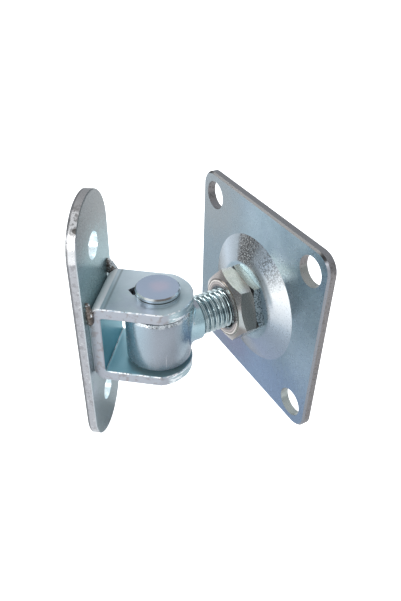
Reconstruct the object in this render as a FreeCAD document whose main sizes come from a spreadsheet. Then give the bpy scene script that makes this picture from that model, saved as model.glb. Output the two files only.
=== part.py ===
import FreeCAD, Part
import math
import os
import Sketcher

# Adjustable gate hinge, in millimetres. The origin is the centre of the post plate's back face,
# +X points out of the post and +Z up, along the hinge pin.

doc = FreeCAD.newDocument("gate_hinge")
sheet = doc.addObject("Spreadsheet::Sheet", "values")
sizes = [
    # post plate with its pressed dome
    ("plate_size", 93),
    ("plate_thick", 4),
    ("plate_corner", 8),
    ("plate_edge", 0.8),
    ("plate_back_edge", 0.3),
    ("post_hole", 13.4),
    ("post_inset", 10.5),
    ("dome_foot", 30.4),
    ("dome_top", 18),
    ("dome_rise", 4.4),
    ("dome_top_blend", 12),
    # thread and clearances
    ("thread_size", 18),
    ("thread_gap", 0.05),
    ("seat_gap", 0.05),
    ("turn_gap", 0.08),
    # captive adjusting nut, its washer and the lock nut
    ("hex_across", 30),
    ("hex_face", 27.2),
    ("hex_rear", 31.8),
    ("hex_angle", 21),
    ("captive_thick", 3.5),
    ("neck_size", 25.6),
    ("spigot_size", 22.4),
    ("rivet_size", 25.2),
    ("rivet_thick", 1.2),
    ("washer_room", 0.3),
    ("washer_thick", 1.6),
    ("lock_thick", 7.8),
    ("face_size", 26.4),
    ("face_rise", 0.4),
    ("mouth_bevel", 1),
    # eye bolt
    ("free_thread", 14.7),
    ("collar_end", 17.2),
    ("collar_size", 20.4),
    ("flare_blend", 3),
    ("drum_size", 28.4),
    ("drum_half", 12.3),
    ("drum_bevel", 0.8),
    ("drum_slope", 1.9),
    ("bolt_beyond", 12),
    ("bolt_bevel", 1.6),
    # hinge pin
    ("pin_size", 16),
    ("pin_beyond", 1.8),
    ("pin_bevel", 1.2),
    ("head_size", 18.8),
    ("head_rise", 3.1),
    ("head_bevel", 0.6),
    ("groove_deep", 0.25),
    ("groove_half", 0.15),
    ("lug_reach", 12),
    ("lug_shoulder", 9.5),
    ("lug_half", 2.7),
    ("lug_thick", 1.4),
    # folded bracket and leaf plate, swung away from the post plate's axis
    ("swing_angle", -38),
    ("ear_half", 19.3),
    ("ear_thick", 5),
    ("ear_reach", 14.8),
    ("ear_corner", 3.8),
    ("ear_edge", 0.4),
    ("bracket_drop", 0.35),
    ("strip_width", 30),
    ("leaf_offset", 25.6),
    ("bend_outer", 5.6),
    ("bend_inner", 1),
    ("notch_reach", 12.5),
    ("notch_shoulder", 9.9),
    ("notch_half", 3.1),
    ("leaf_width", 40),
    ("leaf_length", 124),
    ("leaf_thick", 4.1),
    ("leaf_edge", 0.35),
    ("leaf_hole", 11.6),
    ("leaf_inset", 22.6),
    # weld beads
    ("bead_leg", 3.9),
    ("bead_half", 6),
    ("bead_height", 17.2),
    ("lower_bead_half", 12),
]
for row, (name, size) in enumerate(sizes, start=1):
    sheet.set("A%d" % row, name)
    sheet.set("B%d" % row, str(size))
    sheet.setAlias("B%d" % row, name)
doc.recompute()

# Places along X that several pieces share: the dome's front, the two nuts' rear faces and the pin's axis
dome_front = "values.plate_thick + values.dome_rise"
captive_seat = dome_front + " + values.seat_gap"
lock_seat = captive_seat + " + values.captive_thick + values.seat_gap"
pin_axis = (lock_seat + " + values.lock_thick + values.face_rise + values.free_thread"
            " + values.collar_end")


def new_sketch(body, name, role, lift=None):
    """A sketch on one of the body's own origin planes, lifted off it if asked."""
    sketch = body.newObject("Sketcher::SketchObject", name)
    plane = [item for item in body.Origin.OriginFeatures if item.Role == role][0]
    sketch.AttachmentSupport = [(plane, "")]
    sketch.MapMode = "FlatFace"
    if lift:
        sketch.setExpression("AttachmentOffset.Base.z", lift)
    return sketch


def tie(sketch, index, end, across, along):
    """Hold one point of a sketch at the place that two expressions give."""
    for kind, axis, text in (("DistanceX", -2, across), ("DistanceY", -1, along)):
        number = float(sketch.evalExpression(text))
        if abs(number) < 1e-9:
            sketch.addConstraint(Sketcher.Constraint("PointOnObject", index, end, axis))
        else:
            held = sketch.addConstraint(Sketcher.Constraint(kind, -1, 1, index, end, number))
            sketch.setExpression("Constraints[%d]" % held, text)


def polygon(sketch, corners):
    """A closed outline whose corners are placed by pairs of expressions."""
    spots = []
    for across, along in corners:
        x = float(sketch.evalExpression(across))
        y = float(sketch.evalExpression(along))
        spots.append(FreeCAD.Vector(x, y, 0))
    first = sketch.GeometryCount
    count = len(spots)
    for i in range(count):
        sketch.addGeometry(Part.LineSegment(spots[i], spots[(i + 1) % count]))
    for i in range(count):
        following = first + (i + 1) % count
        sketch.addConstraint(Sketcher.Constraint("Coincident", first + i, 2, following, 1))
    for i, (across, along) in enumerate(corners):
        tie(sketch, first + i, 1, across, along)


def circle(sketch, across, along, diameter):
    """A circle whose centre and diameter are expressions."""
    x = float(sketch.evalExpression(across))
    y = float(sketch.evalExpression(along))
    size = float(sketch.evalExpression(diameter))
    shape = Part.Circle(FreeCAD.Vector(x, y, 0), FreeCAD.Vector(0, 0, 1), size / 2)
    index = sketch.addGeometry(shape)
    tie(sketch, index, 3, across, along)
    held = sketch.addConstraint(Sketcher.Constraint("Diameter", index, size))
    sketch.setExpression("Constraints[%d]" % held, diameter)


def hexagon(sketch):
    """The nuts' outline, with a corner straight up."""
    side = "values.hex_across / 2"
    low = "values.hex_across / 2 / sqrt(3)"
    tall = "values.hex_across / sqrt(3)"
    polygon(sketch, [(side, low), ("0", tall), ("-" + side, low),
                     ("-" + side, "-" + low), ("0", "-" + tall), (side, "-" + low)])


def pad(body, name, sketch, length, side="One side", reverse=False):
    """Material grown from a sketch."""
    feature = body.newObject("PartDesign::Pad", name)
    feature.Profile = sketch
    feature.SideType = side
    feature.Reversed = reverse
    feature.setExpression("Length", length)
    doc.recompute()
    return feature


def cut(body, name, sketch, length, side="Symmetric", reverse=False):
    """Material taken away along a sketch's normal; it must take something."""
    before = body.Tip.Shape.Volume
    feature = body.newObject("PartDesign::Pocket", name)
    feature.Profile = sketch
    feature.SideType = side
    feature.Reversed = reverse
    feature.setExpression("Length", length)
    doc.recompute()
    if feature.Shape.Volume > before - 0.5:
        raise RuntimeError("%s cut nothing" % name)
    return feature


def turn(body, name, sketch, axis):
    """A turned solid: the sketch's profile revolved about one of its axes."""
    feature = body.newObject("PartDesign::Revolution", name)
    feature.Profile = sketch
    feature.ReferenceAxis = (sketch, [axis])
    feature.Angle = 360
    doc.recompute()
    return feature


def turn_away(body, name, sketch, axis):
    """A turned cut; it must take something."""
    before = body.Tip.Shape.Volume
    feature = body.newObject("PartDesign::Groove", name)
    feature.Profile = sketch
    feature.ReferenceAxis = (sketch, [axis])
    feature.Angle = 360
    doc.recompute()
    if feature.Shape.Volume > before - 0.05:
        raise RuntimeError("%s cut nothing" % name)
    return feature


def dress(body, kind, name, test, size):
    """A fillet or a chamfer on every edge of the last feature that passes the test."""
    base = body.Tip
    chosen = ["Edge%d" % (i + 1) for i, edge in enumerate(base.Shape.Edges) if test(edge)]
    if not chosen:
        raise RuntimeError("%s found no edge" % name)
    feature = body.newObject("PartDesign::" + kind, name)
    feature.Base = (base, chosen)
    feature.setExpression("Radius" if kind == "Fillet" else "Size", size)
    doc.recompute()
    return feature


def ring_at(axis, place, radius):
    """A test for a circular edge about an axis, at a place along it."""
    def test(edge):
        if not isinstance(edge.Curve, Part.Circle):
            return False
        if abs(edge.Curve.Radius - radius) > 0.01:
            return False
        centre = edge.Curve.Center
        along = {"x": centre.x, "z": centre.z}[axis]
        off = math.hypot(centre.y, centre.z if axis == "x" else centre.x)
        return abs(along - place) < 0.01 and off < 0.01
    return test


def number(text):
    """The value of an expression of the sheet."""
    return float(doc.getObject("values").evalExpression(text.replace("values.", "")))


# Post plate: a square blank with rounded corners, a shallow dome pressed out of it, a bore and four holes

post = doc.addObject("PartDesign::Body", "post_plate_body")
post.Label = "post_plate"
blank = new_sketch(post, "blank_outline", "YZ_Plane")
half = "values.plate_size / 2"
polygon(blank, [(half, half), ("-" + half, half), ("-" + half, "-" + half), (half, "-" + half)])
pad(post, "blank", blank, "values.plate_thick")
dress(post, "Fillet", "blank_corners",
      lambda edge: abs(edge.Vertexes[0].X - edge.Vertexes[-1].X) > 0.01, "values.plate_corner")
thick = number("values.plate_thick")

# Blanking rolls the front edge over more than the back one
for name, place, size in (("front_edge", thick, "values.plate_edge"),
                          ("back_edge", 0, "values.plate_back_edge")):
    dress(post, "Chamfer", name,
          lambda edge: all(abs(vertex.X - place) < 0.001 for vertex in edge.Vertexes), size)

dome = new_sketch(post, "dome_profile", "XZ_Plane")
polygon(dome, [("values.plate_thick / 2", "0"), ("values.plate_thick / 2", "values.dome_foot"),
               ("values.plate_thick", "values.dome_foot"), (dome_front, "values.dome_top"),
               (dome_front, "0")])
turn(post, "dome", dome, "H_Axis")
dress(post, "Fillet", "dome_top_blend",
      ring_at("x", number(dome_front), number("values.dome_top")), "values.dome_top_blend")

# The hollow behind keeps the sheet's thickness under the slope
shift = "values.plate_thick * values.dome_rise / (values.dome_foot - values.dome_top) / 2"
hollow = new_sketch(post, "hollow_profile", "XZ_Plane")
polygon(hollow, [("-values.plate_thick / 2", "0"),
                 ("-values.plate_thick / 2", "values.dome_foot - " + shift),
                 ("0", "values.dome_foot - " + shift),
                 ("values.dome_rise", "values.dome_top - " + shift), ("values.dome_rise", "0")])
turn_away(post, "hollow", hollow, "H_Axis")

dome_bore = new_sketch(post, "dome_bore_outline", "YZ_Plane")
circle(dome_bore, "0", "0", "values.neck_size + 2 * values.turn_gap")
cut(post, "dome_bore", dome_bore, "values.plate_size")
corner_holes = new_sketch(post, "post_hole_outline", "YZ_Plane")
spot = "(values.plate_size / 2 - values.post_inset)"
for across in (spot, "-" + spot):
    for along in (spot, "-" + spot):
        circle(corner_holes, across, along, "values.post_hole")
cut(post, "post_holes", corner_holes, "values.plate_size")

# Adjusting nut: thin hexagon before the dome, neck through it, spigot riveted over the washer behind

nut = doc.addObject("PartDesign::Body", "adjusting_nut_body")
nut.Label = "adjusting_nut"
nut_hex = new_sketch(nut, "nut_hexagon", "YZ_Plane")
hexagon(nut_hex)
pad(nut, "nut_block", nut_hex, "values.captive_thick")
corner_round = new_sketch(nut, "nut_corner_profile", "XZ_Plane")
far = "values.hex_across"
bevel = "(values.hex_across - values.hex_face / 2) * tan(30)"
break_bevel = "(values.hex_across - values.hex_rear / 2) * tan(30)"
polygon(corner_round, [("values.captive_thick", "values.hex_rear / 2"),
                       ("values.captive_thick", far),
                       ("values.captive_thick - " + break_bevel, far)])
turn_away(nut, "nut_corners", corner_round, "H_Axis")
# The neck ends behind the dome's wall, where the washer's front face is
neck_end = "-(values.plate_thick + values.seat_gap + values.turn_gap)"
rivet_front = neck_end + " - values.washer_thick"
stem = new_sketch(nut, "stem_profile", "XZ_Plane")
polygon(stem, [("values.captive_thick / 2", "0"),
               ("values.captive_thick / 2", "values.neck_size / 2"),
               (neck_end, "values.neck_size / 2"), (neck_end, "values.spigot_size / 2"),
               (rivet_front, "values.spigot_size / 2"), (rivet_front, "values.rivet_size / 2"),
               (rivet_front + " - values.rivet_thick", "values.rivet_size / 2"),
               (rivet_front + " - values.rivet_thick", "0")])
turn(nut, "stem", stem, "H_Axis")
nut_bore = new_sketch(nut, "nut_bore_outline", "YZ_Plane")
circle(nut_bore, "0", "0", "values.thread_size + 2 * values.thread_gap")
cut(nut, "nut_bore", nut_bore, "values.plate_size")

# Retaining washer behind the dome

washer = doc.addObject("PartDesign::Body", "retaining_washer_body")
washer.Label = "retaining_washer"
washer_ring = new_sketch(washer, "washer_outline", "YZ_Plane", neck_end)
# It fills the hollow but for a little room at the rim
circle(washer_ring, "0", "0", "2 * (values.dome_top - " + shift + " - values.washer_room)")
circle(washer_ring, "0", "0", "values.spigot_size + 2 * values.thread_gap")
pad(washer, "washer_ring", washer_ring, "values.washer_thick", reverse=True)

# Lock nut: hexagon with rounded corners on both faces, a raised face and a bevelled mouth

lock = doc.addObject("PartDesign::Body", "lock_nut_body")
lock.Label = "lock_nut"
lock_hex = new_sketch(lock, "lock_hexagon", "YZ_Plane")
hexagon(lock_hex)
pad(lock, "lock_block", lock_hex, "values.lock_thick")
lock_front_round = new_sketch(lock, "lock_front_profile", "XZ_Plane")
polygon(lock_front_round, [("values.lock_thick", "values.hex_face / 2"), ("values.lock_thick", far),
                           ("values.lock_thick - " + bevel, far)])
turn_away(lock, "lock_front_corners", lock_front_round, "H_Axis")
lock_rear_round = new_sketch(lock, "lock_rear_profile", "XZ_Plane")
polygon(lock_rear_round, [("0", "values.hex_rear / 2"), ("0", far), (break_bevel, far)])
turn_away(lock, "lock_rear_corners", lock_rear_round, "H_Axis")
raised = new_sketch(lock, "raised_face_outline", "YZ_Plane", "values.lock_thick / 2")
circle(raised, "0", "0", "values.face_size")
pad(lock, "raised_face", raised, "values.lock_thick / 2 + values.face_rise")
lock_bore = new_sketch(lock, "lock_bore_outline", "YZ_Plane")
circle(lock_bore, "0", "0", "values.thread_size + 2 * values.thread_gap")
cut(lock, "lock_bore", lock_bore, "values.plate_size")
lock_front = number("values.lock_thick + values.face_rise")
bore_radius = number("values.thread_size / 2 + values.thread_gap")
dress(lock, "Chamfer", "lock_mouth", ring_at("x", lock_front, bore_radius), "values.mouth_bevel")

# Eye bolt: a forged drum with bevelled rims, flaring into a collar and the threaded shank

eye = doc.addObject("PartDesign::Body", "eye_bolt_body")
eye.Label = "eye_bolt"
drum = new_sketch(eye, "drum_profile", "XZ_Plane")
rim = "values.drum_size / 2"
polygon(drum, [("0", "-values.drum_half"), (rim + " - values.drum_bevel", "-values.drum_half"),
               (rim, "-values.drum_half + values.drum_bevel"),
               (rim, "values.drum_half - values.drum_slope"),
               (rim + " - values.drum_bevel", "values.drum_half"), ("0", "values.drum_half")])
turn(eye, "drum", drum, "V_Axis")
shank = new_sketch(eye, "shank_profile", "XZ_Plane")
bolt_end = "-(" + pin_axis + " + values.bolt_beyond)"
polygon(shank, [("0", "0"), ("0", "values.collar_size / 2"),
                ("-values.collar_end", "values.collar_size / 2"),
                ("-values.collar_end", "values.thread_size / 2"),
                (bolt_end + " + values.bolt_bevel", "values.thread_size / 2"),
                (bolt_end, "values.thread_size / 2 - values.bolt_bevel"), (bolt_end, "0")])
turn(eye, "shank", shank, "H_Axis")
drum_radius = number("values.drum_size / 2")
collar_radius = number("values.collar_size / 2")


def where_collar_leaves_drum(edge):
    """The edge that the collar and the drum's side have in common."""
    run = edge.LastParameter - edge.FirstParameter
    spots = [edge.valueAt(edge.FirstParameter + share * run / 7) for share in range(1, 7)]
    return all(spot.x < 0 and abs(math.hypot(spot.x, spot.y) - drum_radius) < 0.05
               and abs(math.hypot(spot.y, spot.z) - collar_radius) < 0.05 for spot in spots)


dress(eye, "Fillet", "flare_blend", where_collar_leaves_drum, "values.flare_blend")
eye_bore = new_sketch(eye, "eye_bore_outline", "XY_Plane")
circle(eye_bore, "0", "0", "values.pin_size + 2 * values.turn_gap")
cut(eye, "eye_bore", eye_bore, "values.leaf_length")
eye_radius = number("values.pin_size / 2 + values.turn_gap")
drum_top = number("values.drum_half")
dress(eye, "Chamfer", "eye_mouths",
      lambda edge: ring_at("z", drum_top, eye_radius)(edge) or ring_at("z", -drum_top, eye_radius)(edge),
      "values.drum_bevel / 2")

# Hinge pin: headed, with a pointed lug between the top ear and the drum that stops it lifting out

pin = doc.addObject("PartDesign::Body", "hinge_pin_body")
pin.Label = "hinge_pin"
pin_turned = new_sketch(pin, "pin_profile", "XZ_Plane")
foot = "-(values.ear_half + values.pin_beyond)"
head_low = "values.ear_half + values.seat_gap"
head_high = head_low + " + values.head_rise"
groove_low = head_low + " + values.head_rise * 0.32"
polygon(pin_turned, [("0", foot), ("values.pin_size / 2 - values.pin_bevel", foot),
                     ("values.pin_size / 2", foot + " + values.pin_bevel"),
                     ("values.pin_size / 2", head_low), ("values.head_size / 2", head_low),
                     ("values.head_size / 2", groove_low),
                     ("values.head_size / 2 - values.groove_deep", groove_low + " + values.groove_half"),
                     ("values.head_size / 2", groove_low + " + 2 * values.groove_half"),
                     ("values.head_size / 2", head_high + " - values.head_bevel"),
                     ("values.head_size / 2 - values.head_bevel", head_high), ("0", head_high)])
turn(pin, "pin_turned", pin_turned, "V_Axis")
# The lug sits in the middle of the gap that the hanging bracket leaves over the drum
lug_rest = ("(values.drum_half + values.bracket_drop + values.ear_half - values.ear_thick"
            " - values.lug_thick) / 2")
lug = new_sketch(pin, "lug_outline", "XY_Plane", lug_rest)
polygon(lug, [("-values.lug_half", "values.pin_size / 4"), ("values.lug_half", "values.pin_size / 4"),
              ("values.lug_half", "values.lug_shoulder"), ("0", "values.lug_reach"),
              ("-values.lug_half", "values.lug_shoulder")])
pad(pin, "lug", lug, "values.lug_thick")

# Folded bracket: one strip bent to a U, its ears rounded about the pin, the top hole notched for the lug

clevis = doc.addObject("PartDesign::Body", "clevis_bracket_body")
clevis.Label = "clevis_bracket"
fold = new_sketch(clevis, "fold_profile", "XZ_Plane")
inside = "values.ear_half - values.ear_thick"
web = "values.leaf_offset - values.ear_thick"
polygon(fold, [("0", "values.ear_half"), ("values.leaf_offset", "values.ear_half"),
               ("values.leaf_offset", "-values.ear_half"), ("0", "-values.ear_half"),
               ("0", "-(" + inside + ")"), (web, "-(" + inside + ")"), (web, inside), ("0", inside)])
pad(clevis, "fold", fold, "values.strip_width", "Symmetric")


def upright_at(place):
    """A test for the fold's bend edges, which run across the strip at a place along X."""
    def test(edge):
        ends = edge.Vertexes
        if len(ends) != 2 or abs(ends[0].Y - ends[1].Y) < 1:
            return False
        return abs(ends[0].X - place) < 0.01 and abs(ends[1].X - place) < 0.01
    return test


dress(clevis, "Fillet", "outer_bends", upright_at(number("values.leaf_offset")), "values.bend_outer")
dress(clevis, "Fillet", "inner_bends", upright_at(number(web)), "values.bend_inner")
for side, start, reverse in (("top", inside, False), ("lower", "-(" + inside + ")", True)):
    ear = new_sketch(clevis, side + "_ear_outline", "XY_Plane", start)
    run = float(ear.evalExpression("values.ear_corner"))
    rise = "(values.ear_reach - values.ear_corner)"
    ear_radius = "(" + rise + " ^ 2 + values.strip_width ^ 2 / 4) / (2 * " + rise + ")"
    reach = float(ear.evalExpression(ear_radius))
    middle = ear_radius + " - values.ear_reach"
    inward = float(ear.evalExpression(middle))
    wide = float(ear.evalExpression("values.strip_width / 2"))
    into = float(ear.evalExpression("values.ear_thick"))
    corners = [FreeCAD.Vector(-run, -wide, 0), FreeCAD.Vector(into, -wide, 0),
               FreeCAD.Vector(into, wide, 0), FreeCAD.Vector(-run, wide, 0)]
    for i in range(3):
        ear.addGeometry(Part.LineSegment(corners[i], corners[i + 1]))
    centre = Part.Circle(FreeCAD.Vector(inward, 0, 0), FreeCAD.Vector(0, 0, 1), reach)
    opening = math.atan2(wide, -run - inward)
    ear.addGeometry(Part.ArcOfCircle(centre, opening, 2 * math.pi - opening))
    ear.addConstraint(Sketcher.Constraint("Coincident", 0, 2, 1, 1))
    ear.addConstraint(Sketcher.Constraint("Coincident", 1, 2, 2, 1))
    ear.addConstraint(Sketcher.Constraint("Coincident", 2, 2, 3, 1))
    ear.addConstraint(Sketcher.Constraint("Coincident", 3, 2, 0, 1))
    tie(ear, 3, 3, middle, "0")
    tie(ear, 0, 2, "values.ear_thick", "-values.strip_width / 2")
    tie(ear, 1, 2, "values.ear_thick", "values.strip_width / 2")
    ear.addConstraint(Sketcher.Constraint("Horizontal", 0))
    ear.addConstraint(Sketcher.Constraint("Horizontal", 2))
    held = ear.addConstraint(Sketcher.Constraint("Radius", 3, reach))
    ear.setExpression("Constraints[%d]" % held, ear_radius)
    pad(clevis, side + "_ear", ear, "values.ear_thick", reverse=reverse)
side_half = number("values.strip_width / 2")
end_radius = number(ear_radius)
end_centre = number(middle)


def around_strip(edge):
    """The long edges of the bent strip: along both sides and round the ears, but not through its thickness."""
    run = edge.LastParameter - edge.FirstParameter
    for share in range(7):
        spot = edge.valueAt(edge.FirstParameter + share * run / 6)
        on_side = abs(abs(spot.y) - side_half) < 0.01
        on_end = spot.x < 0 and abs(math.hypot(spot.x - end_centre, spot.y) - end_radius) < 0.01
        if not on_side and not on_end:
            return False
    ends = edge.Vertexes
    return not (ends[0].X < 0 and abs(ends[0].X - ends[-1].X) < 0.01 and abs(ends[0].Y - ends[-1].Y) < 0.01)


dress(clevis, "Chamfer", "strip_edges", around_strip, "values.ear_edge")
ear_bore = new_sketch(clevis, "ear_bore_outline", "XY_Plane")
circle(ear_bore, "0", "0", "values.pin_size + 2 * values.turn_gap")
cut(clevis, "ear_bores", ear_bore, "values.leaf_length")
notch = new_sketch(clevis, "notch_outline", "XY_Plane", "values.ear_half")
polygon(notch, [("values.pin_size / 4", "-values.notch_half"),
                ("values.notch_shoulder", "-values.notch_half"), ("values.notch_reach", "0"),
                ("values.notch_shoulder", "values.notch_half"),
                ("values.pin_size / 4", "values.notch_half")])
cut(clevis, "notch", notch, "values.ear_thick + values.seat_gap", "One side")

# Leaf plate: a flat bar with round ends, holes above and below the bracket

leaf = doc.addObject("PartDesign::Body", "leaf_plate_body")
leaf.Label = "leaf_plate"
slot = new_sketch(leaf, "leaf_outline", "YZ_Plane", "values.leaf_offset")
end = float(slot.evalExpression("values.leaf_width / 2"))
rise = float(slot.evalExpression("(values.leaf_length - values.leaf_width) / 2"))
slot.addGeometry(Part.LineSegment(FreeCAD.Vector(end, -rise, 0), FreeCAD.Vector(end, rise, 0)))
slot.addGeometry(Part.ArcOfCircle(
    Part.Circle(FreeCAD.Vector(0, rise, 0), FreeCAD.Vector(0, 0, 1), end), 0, math.pi))
slot.addGeometry(Part.LineSegment(FreeCAD.Vector(-end, rise, 0), FreeCAD.Vector(-end, -rise, 0)))
slot.addGeometry(Part.ArcOfCircle(
    Part.Circle(FreeCAD.Vector(0, -rise, 0), FreeCAD.Vector(0, 0, 1), end), math.pi, 2 * math.pi))
for i in range(4):
    slot.addConstraint(Sketcher.Constraint("Tangent", i, 2, (i + 1) % 4, 1))
slot.addConstraint(Sketcher.Constraint("Equal", 1, 3))
tie(slot, 1, 3, "0", "(values.leaf_length - values.leaf_width) / 2")
tie(slot, 3, 3, "0", "-(values.leaf_length - values.leaf_width) / 2")
held = slot.addConstraint(Sketcher.Constraint("Radius", 1, end))
slot.setExpression("Constraints[%d]" % held, "values.leaf_width / 2")
pad(leaf, "leaf_bar", slot, "values.leaf_thick")
dress(leaf, "Chamfer", "leaf_edges",
      lambda edge: max(v.X for v in edge.Vertexes) - min(v.X for v in edge.Vertexes) < 0.001,
      "values.leaf_edge")
leaf_holes = new_sketch(leaf, "leaf_hole_outline", "YZ_Plane", "values.leaf_offset")
for along in ("values.leaf_length / 2 - values.leaf_inset",
              "-(values.leaf_length / 2 - values.leaf_inset)"):
    circle(leaf_holes, "0", along, "values.leaf_hole")
cut(leaf, "leaf_holes", leaf_holes, "values.leaf_offset")

# Weld beads: rounded fillets in the corner between the bracket and the leaf plate

beads = []
for name, side in (("weld_far", -1), ("weld_near", 1)):
    drop = doc.addObject("PartDesign::Body", name + "_drop")
    spindle = new_sketch(drop, name + "_profile", "XZ_Plane")
    polygon(spindle, [("0", "-values.bead_half"), ("values.bead_leg / 2", "-values.bead_half"),
                      ("values.bead_leg", "-values.bead_half / 2"),
                      ("values.bead_leg", "values.bead_half / 2"),
                      ("values.bead_leg / 2", "values.bead_half"), ("0", "values.bead_half")])
    turn(drop, name + "_turned", spindle, "V_Axis")
    drop.setExpression("Placement.Base.x", "values.leaf_offset")
    drop.setExpression("Placement.Base.y", "%d * values.strip_width / 2" % side)
    drop.setExpression("Placement.Base.z", "values.bead_height")
    corner = doc.addObject("Part::Box", name + "_corner")
    for key in ("Length", "Width", "Height"):
        corner.setExpression(key, "values.leaf_offset")
    if side > 0:
        corner.setExpression("Placement.Base.y", "values.strip_width / 2")
    else:
        corner.setExpression("Placement.Base.y", "-values.strip_width / 2 - values.leaf_offset")
    corner.setExpression("Placement.Base.z", "values.bead_height - values.leaf_offset / 2")
    bead = doc.addObject("Part::Common", name + "_bead")
    bead.Base = drop
    bead.Tool = corner
    bead.Label = name
    beads.append(bead)

# The lower bead fills the crevice under the lower bend
lower = doc.addObject("PartDesign::Body", "weld_lower_body")
lower.Label = "weld_lower"
fillet = new_sketch(lower, "weld_lower_section", "XZ_Plane")
polygon(fillet, [("values.leaf_offset", "-values.ear_half + values.bead_leg * 0.9"),
                 ("values.leaf_offset", "-values.ear_half - values.bead_leg * 0.55"),
                 ("values.leaf_offset - values.bead_leg * 0.45", "-values.ear_half - values.bead_leg * 0.4"),
                 ("values.leaf_offset - values.bead_leg * 0.95", "-values.ear_half - values.bead_leg * 0.05")])
pad(lower, "weld_lower_run", fillet, "2 * values.lower_bead_half", "Symmetric")
bend = new_sketch(lower, "weld_lower_bend", "XZ_Plane")
circle(bend, "values.leaf_offset - values.bend_outer", "-values.ear_half + values.bend_outer",
       "2 * values.bend_outer")
cut(lower, "weld_lower_crevice", bend, "2 * values.strip_width")
beads.append(lower)
doc.recompute()

# Every piece goes to its place: the nuts turn together, and the gate side swings about the pin

about_x = FreeCAD.Vector(1, 0, 0)
about_z = FreeCAD.Vector(0, 0, 1)
for piece, seat in ((nut, captive_seat), (washer, captive_seat), (lock, lock_seat)):
    piece.Placement = FreeCAD.Placement(FreeCAD.Vector(0, 0, 0), FreeCAD.Rotation(about_x, 1))
    piece.setExpression("Placement.Rotation.Angle", "values.hex_angle * 1 deg")
    piece.setExpression("Placement.Base.x", seat)
eye.setExpression("Placement.Base.x", pin_axis)
for piece in [pin, clevis, leaf] + beads:
    piece.Placement = FreeCAD.Placement(FreeCAD.Vector(0, 0, 0), FreeCAD.Rotation(about_z, -1))
    piece.setExpression("Placement.Rotation.Angle", "values.swing_angle * 1 deg")
    piece.setExpression("Placement.Base.x", pin_axis)
    piece.setExpression("Placement.Base.z", "-values.bracket_drop")
doc.recompute()

# Checks before anything is written, then one file for each piece

for item in doc.Objects:
    for state in item.State:
        if state in ("Invalid", "Error"):
            raise RuntimeError("%s is %s" % (item.Name, state))
pieces = [post, nut, washer, lock, eye, pin, clevis, leaf] + beads
for piece in pieces:
    if piece.Shape.isNull() or not piece.Shape.isValid():
        raise RuntimeError("%s has no valid shape" % piece.Label)
    if len(piece.Shape.Solids) != 1:
        raise RuntimeError("%s is not one solid" % piece.Label)
os.makedirs("parts", exist_ok=True)
for piece in pieces:
    piece.Shape.exportStep("parts/%s.step" % piece.Label)
    box = piece.Shape.BoundBox
    print("%-18s %9.1f mm3  x %7.2f %7.2f  y %7.2f %7.2f  z %7.2f %7.2f" % (
        piece.Label, piece.Shape.Volume, box.XMin, box.XMax, box.YMin, box.YMax, box.ZMin, box.ZMax))
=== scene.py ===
import math

import bmesh
import bpy
from mathutils import Matrix, Vector


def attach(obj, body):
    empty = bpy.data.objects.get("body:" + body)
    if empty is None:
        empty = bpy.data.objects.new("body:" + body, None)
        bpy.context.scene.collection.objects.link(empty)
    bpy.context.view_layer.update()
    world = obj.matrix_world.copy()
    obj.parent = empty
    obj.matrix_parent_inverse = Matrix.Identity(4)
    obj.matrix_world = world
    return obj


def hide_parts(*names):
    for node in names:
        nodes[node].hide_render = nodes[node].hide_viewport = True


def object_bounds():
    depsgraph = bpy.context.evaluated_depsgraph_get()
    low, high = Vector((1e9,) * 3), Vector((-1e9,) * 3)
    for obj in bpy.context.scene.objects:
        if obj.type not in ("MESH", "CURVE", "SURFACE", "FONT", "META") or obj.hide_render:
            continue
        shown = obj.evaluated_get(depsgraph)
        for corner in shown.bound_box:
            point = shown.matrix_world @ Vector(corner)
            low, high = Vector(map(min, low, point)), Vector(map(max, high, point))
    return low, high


# The hinge stands in the frame of its post plate: the origin is the centre of the plate's back face,
# +X runs out of the post along the eye bolt and +Z runs up along the hinge pin.
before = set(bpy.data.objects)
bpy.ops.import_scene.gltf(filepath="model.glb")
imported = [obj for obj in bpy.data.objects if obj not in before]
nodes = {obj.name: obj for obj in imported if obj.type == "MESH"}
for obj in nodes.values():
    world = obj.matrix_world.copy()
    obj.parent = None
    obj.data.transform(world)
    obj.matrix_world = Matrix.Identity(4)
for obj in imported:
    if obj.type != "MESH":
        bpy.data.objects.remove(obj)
cad_box = [[float(number) for number in corner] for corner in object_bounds()]

# Camera, floor and light: the hinge in front of a plain white sweep, seen from above on the gate's side.
# A pale tent overhead and two soft boxes light it; the lower half of the room is greyer.

CAMERA_PLACE = Vector((0.135488, 0.177891, 0.162780))
AZIMUTH, ELEVATION, ROLL = math.radians(30.2836), math.radians(36.9526), math.radians(-1.4250)
PHOTO_WIDTH = 401.0
FOCAL_PIXELS = 589.371
SENSOR_WIDTH = 36.0


def photo_camera():
    """The camera that took the photograph: its lens comes from the focal length in the photo's pixels."""
    look = -Vector((math.sin(AZIMUTH) * math.cos(ELEVATION), math.cos(AZIMUTH) * math.cos(ELEVATION),
                    math.sin(ELEVATION)))
    right = Vector((-math.cos(AZIMUTH), math.sin(AZIMUTH), 0.0))
    down = look.cross(right)
    turned_right = math.cos(ROLL) * right + math.sin(ROLL) * down
    turned_down = -math.sin(ROLL) * right + math.cos(ROLL) * down
    data = bpy.data.cameras.new("photo_camera")
    data.sensor_fit = "HORIZONTAL"
    data.sensor_width = SENSOR_WIDTH
    data.lens = FOCAL_PIXELS * SENSOR_WIDTH / PHOTO_WIDTH
    data.clip_start = 0.005
    data.clip_end = 20.0
    camera = bpy.data.objects.new("photo_camera", data)
    turn = Matrix((turned_right, -turned_down, -look)).transposed().to_4x4()
    camera.matrix_world = Matrix.Translation(CAMERA_PLACE) @ turn
    bpy.context.scene.collection.objects.link(camera)
    bpy.context.scene.camera = camera


photo_camera()
bpy.context.scene.view_settings.view_transform = "Standard"


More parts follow.
